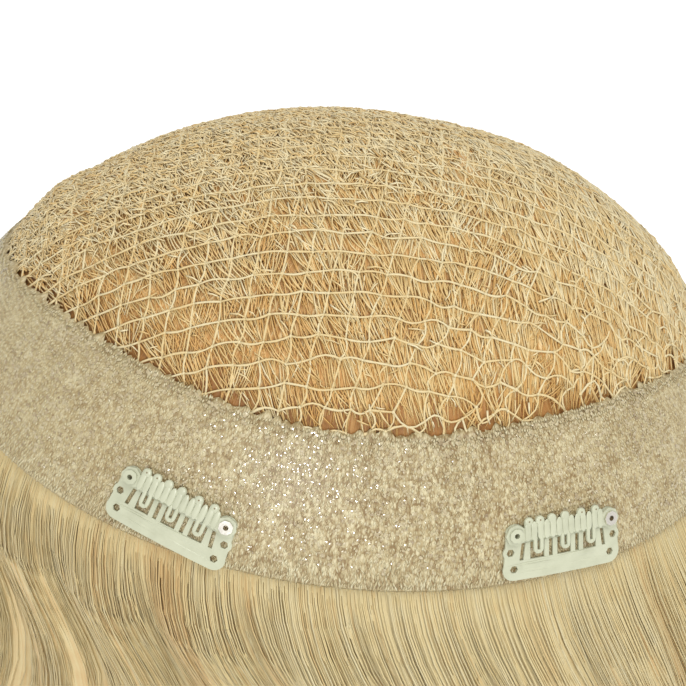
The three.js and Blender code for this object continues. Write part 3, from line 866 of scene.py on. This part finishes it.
# Stretch of each pattern of streaks, and its share.
STREAKS = {(900, 7, 1): 0.5, (240, 4, 1): 0.5}
STREAK_CONTRAST = 3.4
STREAK_DROP = -1.35
STREAK_RELIEF = 0.0006
HAIR_CARD = {"dark": (196, 166, 114), "middle": (205, 186, 137), "light": (207, 194, 154)}
# The crown card is the hair's colour deepened to gold with painted shade, for the hair that lies in
# shadow under the net.
CROWN_CARD = {"dark": (166, 116, 60), "middle": (200, 156, 94), "light": (228, 202, 150)}
CROWN_SHARE = 0.2
CROWN_HEM = 0.125
CROWN_FADE = 16.0
CROWN_SHADE = -0.4
CROWN_SHINE = 0.15
# Lines of the mass: under the net, under the band, then inside the skirt and the crown.
CROWN_ROWS = ((0, UNDER_NET), (0.4, UNDER_NET), (0.8, UNDER_NET), (0.95, UNDER_HEM))
BAND_CLIMBS = (0.8, 0.4, 0.0)
INNER_SKIRT = ((0.96, 0.15), (0.76, 0.6), (0.51, 0.9), (0.28, 1.0), (0.1, 0.9))
INNER_CROWN = (1, 0.7, 0.36, 0)
# Down the outside of the skirt: shares of the drop, of the flare and of the locks' bulge.
DROP_SHARES = (0, 0.04, 0.1, 0.18, 0.28, 0.39, 0.51, 0.63, 0.76, 0.89, 1)
FLARE_SHARES = (0, 0.35, 0.7, 1, 1, 0.9, 0.7, 0.45, 0.15, -0.2, -0.6)
BULGE_SHARES = (0, 0.2, 0.6, 1, 1, 1, 1, 1, 0.9, 0.6, 0.1)


def swing(drop, turn):
    """How far the hair has swung along X at a depth below the rim, less towards both ends."""
    wave = WAVE_SWING * (1 - np.cos(2 * np.pi * drop / WAVE_LENGTH)) / 2
    return (drop * math.tan(HAIR_LEAN) + wave) * (1 - END_STILLNESS * np.cos(turn) ** 2)


def lock_at(turn):
    """Swell and length of the lock at a turn."""
    place = turn / (2 * np.pi) * LOCK_COUNT
    swell = np.abs(np.sin(np.pi * place))
    unevenness = LOCK_UNEVENNESS * np.sin((np.floor(place) % LOCK_COUNT) ** 2) ** 2
    return swell, HAIR_LENGTH - LOCK_NOTCH * (1 - swell) - unevenness * swell


def skirt_point(turn, drop, out):
    """Point of the skirt at a depth below the rim, out from the rim's line."""
    rim = dome_point(rim_angle(turn), turn, UNDER_BAND)
    outwards = np.stack((np.cos(turn) / DOME_RADII[0], np.sin(turn) / DOME_RADII[1], 0 * turn), -1)
    fall = np.stack(np.broadcast_arrays(swing(drop, turn), 0.0, -drop), -1)
    return rim + unit_length(outwards) * np.asarray(out)[..., None] + fall


def mass_rows(turn):
    """Lines of the hair mass from the crown down outside to the tips and back up inside."""
    swell, length = lock_at(turn)
    hem = angle_above_rim(turn, band_width(turn) - HEM_TUCK)
    rows = []
    for share, depth in CROWN_ROWS:
        u, v = share * hem * np.cos(turn) * DOME_RADII[0], share * hem * np.sin(turn) * DOME_RADII[1]
        rows.append(dome_point(share * hem, turn, depth + shoulder(u, v)))
    for share in BAND_CLIMBS:
        rows.append(dome_point(angle_above_rim(turn, share * band_width(turn)), turn, UNDER_BAND))
    for share, flare, bulge in zip(DROP_SHARES[1:], FLARE_SHARES[1:], BULGE_SHARES[1:]):
        out = HAIR_FLARE * flare + LOCK_BULGE * swell * bulge - MASS_SINK * smooth(share * 8)
        rows.append(skirt_point(turn, share * length, out))
    for share, depth in INNER_SKIRT:
        out = HAIR_FLARE * np.interp(share, DROP_SHARES, FLARE_SHARES) - HAIR_DEPTH * depth
        rows.append(skirt_point(turn, share * length, out))
    for share in INNER_CROWN:
        rows.append(dome_point(share * rim_angle(turn), turn, -HOLLOW_DEPTH))
    return np.array(rows)


def mass_place(across, along):
    """Point of the hair mass, on smooth curves through its lines, with fine ridges."""
    turn = 2 * np.pi * across
    rows = mass_rows(turn)
    last = len(rows) - 1
    place = np.clip(along * last, 0, last - 1e-9)
    number = np.floor(place).astype(int)
    share = (place - number)[:, None]
    point = np.arange(len(turn))
    before, here, there, beyond = (rows[np.clip(number + k, 0, last), point] for k in (-1, 0, 1, 2))
    before = np.where(number[:, None] == 0, there * (-1, -1, 1), before)
    curve = here + 0.5 * share * (there - before + share * (
        2 * before - 5 * here + 4 * there - beyond + share * (3 * (here - there) + beyond - before)))
    ridged = RIDGE_HEIGHT * smooth((number - RIDGE_FIRST) / 3.0) * (number < RIDGE_LAST)
    outwards = unit_length(curve - curve * (0, 0, 1))
    return curve + outwards * (ridged * ripple(turn, along * RIDGE_DRIFT, RIDGE_PITCH, seed=31))[:, None]


def streak_group():
    """Streaks that run along the hair: fine lines over broader locks of lighter or darker hair."""
    outputs = {"Tone": "NodeSocketFloat", "Height": "NodeSocketFloat"}
    group, given, result = node_group("hair_streaks", {"Vector": "NodeSocketVector"}, outputs)
    heights = []
    for scale, share in STREAKS.items():
        stretch = group.nodes.new("ShaderNodeMapping")
        stretch.inputs["Scale"].default_value = scale
        lines = group.nodes.new("ShaderNodeTexNoise")
        lines.inputs["Scale"].default_value = 1.0
        lines.inputs["Detail"].default_value = 3
        group.links.new(given.outputs["Vector"], stretch.inputs["Vector"])
        group.links.new(stretch.outputs["Vector"], lines.inputs["Vector"])
        heights.append(calculate(group, "MULTIPLY", lines.outputs["Fac"], share))
    height = calculate(group, "ADD", *heights)
    tone = calculate(group, "MULTIPLY_ADD", height, STREAK_CONTRAST, STREAK_DROP, clamp=True)
    group.links.new(tone, result.inputs["Tone"])
    group.links.new(height, result.inputs["Height"])
    return group


def mass_finish():
    """Finish of the mass: golden under the net and darker towards its hem, both painted shade over the
    hair's own colour; paler in the skirt.
    """
    material, tree, shader = finish("hair_mass", Roughness=0.45, Specular_IOR_Level=0.4)
    lay = tree.nodes.new("ShaderNodeUVMap")
    lay.uv_map = "lay"
    streaks = tree.nodes.new("ShaderNodeGroup")
    streaks.node_tree = streak_group()
    bump = tree.nodes.new("ShaderNodeBump")
    bump.inputs["Distance"].default_value = STREAK_RELIEF
    split = tree.nodes.new("ShaderNodeSeparateXYZ")
    tree.links.new(lay.outputs["UV"], streaks.inputs["Vector"])
    tree.links.new(lay.outputs["UV"], split.inputs["Vector"])
    # Under the net the mass takes the crown card, with painted shade that darkens it further towards the
    # hem next to the band.
    crown = calculate(tree, "LESS_THAN", split.outputs["Y"], CROWN_SHARE)
    reach = CROWN_FADE * CROWN_HEM + CROWN_SHADE
    shade = calculate(tree, "MULTIPLY_ADD", split.outputs["Y"], -CROWN_FADE, reach)
    shade = calculate(tree, "MINIMUM", shade, CROWN_SHINE)
    shade = calculate(tree, "ADD", streaks.outputs["Tone"], shade, clamp=True)
    pale = dyed(tree, HAIR_CARD, streaks.outputs["Tone"])
    gold = dyed(tree, CROWN_CARD, shade)
    tree.links.new(mixed(tree, crown, pale, gold), shader.inputs["Base Color"])
    tree.links.new(streaks.outputs["Height"], bump.inputs["Height"])
    tree.links.new(bump.outputs["Normal"], shader.inputs["Normal"])
    return material


def hair_mass():
    mesh = laid_grid("hair_mass", MASS_COLUMNS, MASS_ROWS, mass_place)
    mass = shown("hair_mass", mesh, mass_finish())
    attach(mass, "root")
    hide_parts("hair")


hair_mass()


# Strands of the skirt. Single strands lie over and inside the hanging mass. They start under the
# band, follow its wave, draw together towards the point of their lock and end unevenly.
STRAND_SHARES = np.array((0, 0.03, 0.07, 0.12, 0.17, 0.22, 0.28, 0.35, 0.43, 0.53, 0.66, 0.82, 1))
STRAND_SIDES = 3
STRAND_RADIUS = 0.00023
STRAND_FLATNESS = 0.7
STRAND_SPREAD = (0.65, 1.35)
STRAND_TIP = (0.85, 0.6, 0.12)
STRAND_LENGTH = (0.84, 1.02)
STRAND_STRAY = 0.0009
STRAND_UNEVENNESS = 0.00012
STRAND_TONE_SCATTER = 0.13
START_CLIMB = 0.0022
START_LIFT = 0.00010
SWAY_HEIGHT = 0.0011
SWAY_LENGTH = 0.06
SWAY_START_PITCH = 0.012
SWAY_PITCH = 0.007
LOOSENING = 6
LOCK_PINCH = 0.42
PINCH_SPREAD = (0.5, 1.2)
PINCH_CURVE = 1.6
TONE_WAVES = 0.6
TONE_PITCH = 0.006
# Turn, width and strength of each darker clump.
LOWLIGHTS = ((-2.02, 0.055, 0.55), (-0.80, 0.035, 0.35), (0.9, 0.08, 0.4), (2.6, 0.07, 0.4))
STRAND_LAYERS = {
    "strands_inner": {"count": 1000, "inner": -0.0004, "outer": 0.0, "tones": (0.3, 0.7)},
    "strands_middle": {"count": 1500, "inner": -0.0003, "outer": 0.0001, "tones": (0.3, 0.8)},
    "strands_outer": {"count": 1500, "inner": -0.0002, "outer": 0.0004, "tones": (0.4, 0.9)},
}


def strand_paths(turn, inner, outer):
    """Paths of strands from under the band to their tips, between two depths of the skirt."""
    count, steps = len(turn), len(STRAND_SHARES)
    length = lock_at(turn)[1] * chance.uniform(*STRAND_LENGTH, count)
    lock = (np.floor(turn / (2 * np.pi) * LOCK_COUNT) + 0.5) / LOCK_COUNT * 2 * np.pi
    drawn = LOCK_PINCH * chance.uniform(*PINCH_SPREAD, (count, 1)) * STRAND_SHARES**PINCH_CURVE
    turns = turn[:, None] + (lock - turn)[:, None] * drawn
    depth = chance.uniform(inner, outer, (count, 1))
    flare = HAIR_FLARE * np.interp(STRAND_SHARES, DROP_SHARES, FLARE_SHARES)
    bulge = LOCK_BULGE * lock_at(turns)[0] * np.interp(STRAND_SHARES, DROP_SHARES, BULGE_SHARES)
    loose = smooth(STRAND_SHARES * LOOSENING)
    stray = chance.normal(0, STRAND_STRAY, (count, 1)) * STRAND_SHARES
    depth = depth + STRAND_UNEVENNESS * chance.normal(0, 1, (count, steps))
    drop = STRAND_SHARES * length[:, None]
    points = skirt_point(turns, drop, flare + bulge + depth * loose + stray)
    begin = ripple(turn, 0.0, SWAY_START_PITCH, seed=5)[:, None]
    sway = np.sin(2 * np.pi * (drop / SWAY_LENGTH + begin))
    points[..., 0] += SWAY_HEIGHT * sway * loose * ripple(turn, 0.0, SWAY_PITCH, seed=77)[:, None]
    start = dome_point(angle_above_rim(turn, START_CLIMB), turn, UNDER_BAND + START_LIFT)
    return np.concatenate((start[:, None], points), 1)


def strand_tone(turn, tones):
    """Tone of each strand, with a few darker clumps."""
    tone = chance.normal(0, STRAND_TONE_SCATTER, len(turn)) + 0.5 * (tones[0] + tones[1])
    tone = tone + (tones[1] - tones[0]) * TONE_WAVES * ripple(turn, 0.0, TONE_PITCH, seed=41)
    for place, width, strength in LOWLIGHTS:
        away = np.angle(np.exp(1j * (turn - place)))
        tone = tone - strength * np.exp(-((away / width) ** 2))
    return np.clip(tone, 0, 1)


def strand_layer(name, count, inner, outer, tones):
    """One layer of strands, pressed a little flat where they lie in the skirt."""
    turn = 2 * np.pi * (np.arange(count) + chance.uniform(0, 1, count)) / count
    points = strand_paths(turn, inner, outer)
    steps = points.shape[1]
    radii = STRAND_RADIUS * chance.uniform(*STRAND_SPREAD, (count, 1)) * np.ones(steps)
    radii[:, -len(STRAND_TIP):] *= STRAND_TIP
    corners, faces = tubes(points, radii, STRAND_SIDES)
    middle = points[:, :, None]
    offset = corners.reshape(count, steps, STRAND_SIDES, 3) - middle
    outward = unit_length(middle * (1, 1, 0))
    offset = offset - STRAND_FLATNESS * (offset * outward).sum(-1, keepdims=True) * outward
    tone = strand_tone(turn, tones).repeat(steps * STRAND_SIDES)
    mesh = joined(name, (middle + offset).reshape(-1, 3), faces, tone)
    layer = shown(name, mesh, strand_hair)
    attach(layer, "root")


strand_hair = strand_finish("strand_hair", HAIR_CARD, Roughness=0.5, Specular_IOR_Level=0.3)
for name, layer in STRAND_LAYERS.items():
    strand_layer(name, **layer)


# Snap comb clips. Each is a leaf of thin painted steel with lobed ends and sewing holes, and over
# it a comb of looped fingers, riveted at both ends; one rivet has lost its paint.
CLIPS = {
    "left_clip": {"turn": math.radians(-116.2), "rise": 0.0077, "tilt": math.radians(-9.8)},
    "right_clip": {"turn": math.radians(-59.7), "rise": 0.0074, "tilt": math.radians(-1.6)},
}
HOLE_DROP = 0.0077
CLIP_CARD = {"dark": (170, 172, 146), "middle": (186, 188, 162), "light": (194, 196, 170)}
STEEL_CARD = (240, 234, 222)
PAINT_CLOUDS = 320
WEAR_SCALE = 900
WEAR_ROUGHNESS = (0.3, 0.12)
# Colour of the painted shade in the comb's pinhole dimples.
PINHOLE_SHADE_CARD = (120, 104, 74)
COMB_LIFT = 0.0015
RIB_COUNT = 13
RIB_PITCH = 0.00145
RIB_RISE = 0.0004
RIB_SIZE = (0.00070, 0.0021, 0.00022)
BUMP_AT = (-0.0084, -0.00588, -0.0031, 0.0, 0.00395, 0.00756)
BUMP_RISE = 0.0025
BUMP_SIZE = (0.00085, 0.00085, 0.00025)
TEETH_AT = (-0.0063, 0.0, 0.0063)
TOOTH_HALF_WIDTH = 0.0007
TOOTH_RISE = -0.0027
TOOTH_SIZE = (0.00038, 0.0017, 0.00016)
PINHOLES = (0, 1, 4, 5)
PINHOLE_RADIUS = 0.00020
PINHOLE_SHAPE = (1, 1, 0.35)
PINHOLE_SHIFT = 0.0001
PINHOLE_LIFT = 0.00021
BLUNTNESS = 0.6


def clip_finishes():
    paint, tree, shader = finish("clip_paint", Roughness=0.34, Coat_Weight=0.25, Coat_Roughness=0.2)
    place = tree.nodes.new("ShaderNodeTexCoord")
    cloud = tree.nodes.new("ShaderNodeTexNoise")
    cloud.inputs["Scale"].default_value = PAINT_CLOUDS
    cloud.inputs["Detail"].default_value = 4
    tree.links.new(place.outputs["Object"], cloud.inputs["Vector"])
    tree.links.new(dyed(tree, CLIP_CARD, cloud.outputs["Fac"]), shader.inputs["Base Color"])
    steel, tree, shader = finish("bare_steel", Metallic=1.0)
    place = tree.nodes.new("ShaderNodeTexCoord")
    wear = tree.nodes.new("ShaderNodeTexNoise")
    wear.inputs["Scale"].default_value = WEAR_SCALE
    shader.inputs["Base Color"].default_value = colour(*STEEL_CARD)
    tree.links.new(place.outputs["Object"], wear.inputs["Vector"])
    rough = calculate(tree, "MULTIPLY_ADD", wear.outputs["Fac"], *WEAR_ROUGHNESS)
    tree.links.new(rough, shader.inputs["Roughness"])
    return paint, steel


def clip_point(clip, u, v, lift):
    """Point on a clip from its lengths along and across the clip, as on the CAD piece."""
    middle_angle = angle_above_rim(clip["turn"], clip["rise"])
    middle = dome_point(middle_angle, clip["turn"], 0.0)
    normal = unit_length((middle - DOME_CENTRE) / DOME_RADII**2)
    level = unit_length(np.cross((0, 0, 1), normal))
    along = level * math.cos(clip["tilt"]) + np.cross(normal, level) * math.sin(clip["tilt"])
    up = np.cross(normal, along)
    flat = middle + along * np.asarray(u)[..., None] + up * (np.asarray(v) + HOLE_DROP / 2)[..., None]
    unit = unit_length((flat - DOME_CENTRE) / DOME_RADII)
    places = unit * DOME_RADII + DOME_CENTRE
    return places + unit_length(unit / DOME_RADII) * lift, up


def comb_relief(name, clip):
    """Ribs and rounded bumps pressed into the comb, the rims of its looped teeth, and dark discs of
    painted shade in the pinhole dimples of four bumps.
    """
    ribs = (np.arange(RIB_COUNT) - (RIB_COUNT - 1) / 2) * RIB_PITCH
    teeth = np.array([place + side * TOOTH_HALF_WIDTH for place in TEETH_AT for side in (-1, 1)])
    u = np.concatenate((ribs, BUMP_AT, teeth))
    counts = (len(ribs), len(BUMP_AT), len(teeth))
    v = np.repeat((RIB_RISE, BUMP_RISE, TOOTH_RISE), counts)
    places, up = clip_point(clip, u, v, COMB_LIFT)
    sizes = np.repeat((RIB_SIZE, BUMP_SIZE, TOOTH_SIZE), counts, axis=0)
    frames = surface_frames(places, np.broadcast_to(up, places.shape))

    def lens(body):
        bmesh.ops.create_icosphere(body, subdivisions=3, radius=1)
        for vertex in body.verts:
            vertex.co.y = math.copysign(abs(vertex.co.y) ** BLUNTNESS, vertex.co.y)

    relief = shown(name, scattered(name, places, frames, sizes, np.ones(len(u)), lens), clip_paint)
    # Dark discs on four bumps are painted shade, where their pinhole dimples lie in shadow.
    holes = np.array([BUMP_AT[number] for number in PINHOLES])
    v = np.full(len(holes), BUMP_RISE + PINHOLE_SHIFT)
    places, up = clip_point(clip, holes, v, COMB_LIFT + PINHOLE_LIFT)
    frames = surface_frames(places, np.broadcast_to(up, places.shape))
    sizes = PINHOLE_RADIUS * np.broadcast_to(PINHOLE_SHAPE, places.shape)
    name = name + "_dimple_shadows"
    mesh = scattered(name, places, frames, sizes, np.ones(len(holes)), lens)
    shaded_dimples = shown(name, mesh, pinhole_shade)
    for piece in (relief, shaded_dimples):
        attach(piece, "root")


clip_paint, bare_steel = clip_finishes()
pinhole_shade = finish("pinhole_shade", Base_Color=colour(*PINHOLE_SHADE_CARD), Roughness=0.6)[0]
for name, clip in CLIPS.items():
    comb_relief(name + "_relief", clip)
for name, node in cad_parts.items():
    if "clip" in name:
        node.data.materials.clear()
        node.data.materials.append(bare_steel if name.endswith("eyelet_b") else clip_paint)
